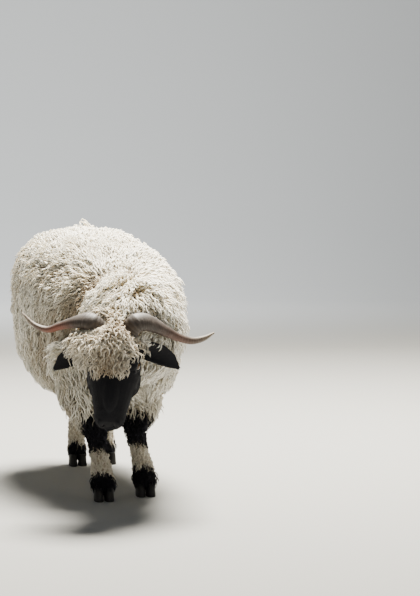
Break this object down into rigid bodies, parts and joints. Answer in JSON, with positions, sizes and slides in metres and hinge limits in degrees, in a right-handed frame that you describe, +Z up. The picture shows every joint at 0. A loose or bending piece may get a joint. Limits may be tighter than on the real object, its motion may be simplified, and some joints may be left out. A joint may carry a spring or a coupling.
{
  "type": "valais blacknose sheep",
  "caption": "Still, life-size Valais Blacknose ewe, standing with her head low, curly fleece, black face, ears and knees, and wide twisted horns.",
  "frame": {"origin": "on the floor, under the middle of the model's bounding box", "axes": "+Z up; the sheep faces -Y, and her left side is +X"},
  "size_m": [0.5398, 1.2684, 0.7713],
  "materials": {
    "fleece": "curly wool, cream white",
    "black_face": "short black hair, with white wool on the crown",
    "horn": "ridged grey-brown horn",
    "hoof": "dark hoof horn",
    "eye": "wet and dark amber"
  },
  "bodies": {
    "root": {"ear_left": "black_face", "ear_right": "black_face", "eye_left": "eye", "eye_right": "eye", "head": "black_face", "hoof_front_left_left": "hoof", "hoof_front_left_right": "hoof", "hoof_front_right_left": "hoof", "hoof_front_right_right": "hoof", "hoof_hind_left_left": "hoof", "hoof_hind_left_right": "hoof", "hoof_hind_right_left": "hoof", "hoof_hind_right_right": "hoof", "horn_left": "horn", "horn_right": "horn", "leg_front_left": "fleece", "leg_front_right": "fleece", "leg_hind_left": "fleece", "leg_hind_right": "fleece", "neck": "fleece", "tail": "fleece", "torso": "fleece"}
  },
  "joints": []
}
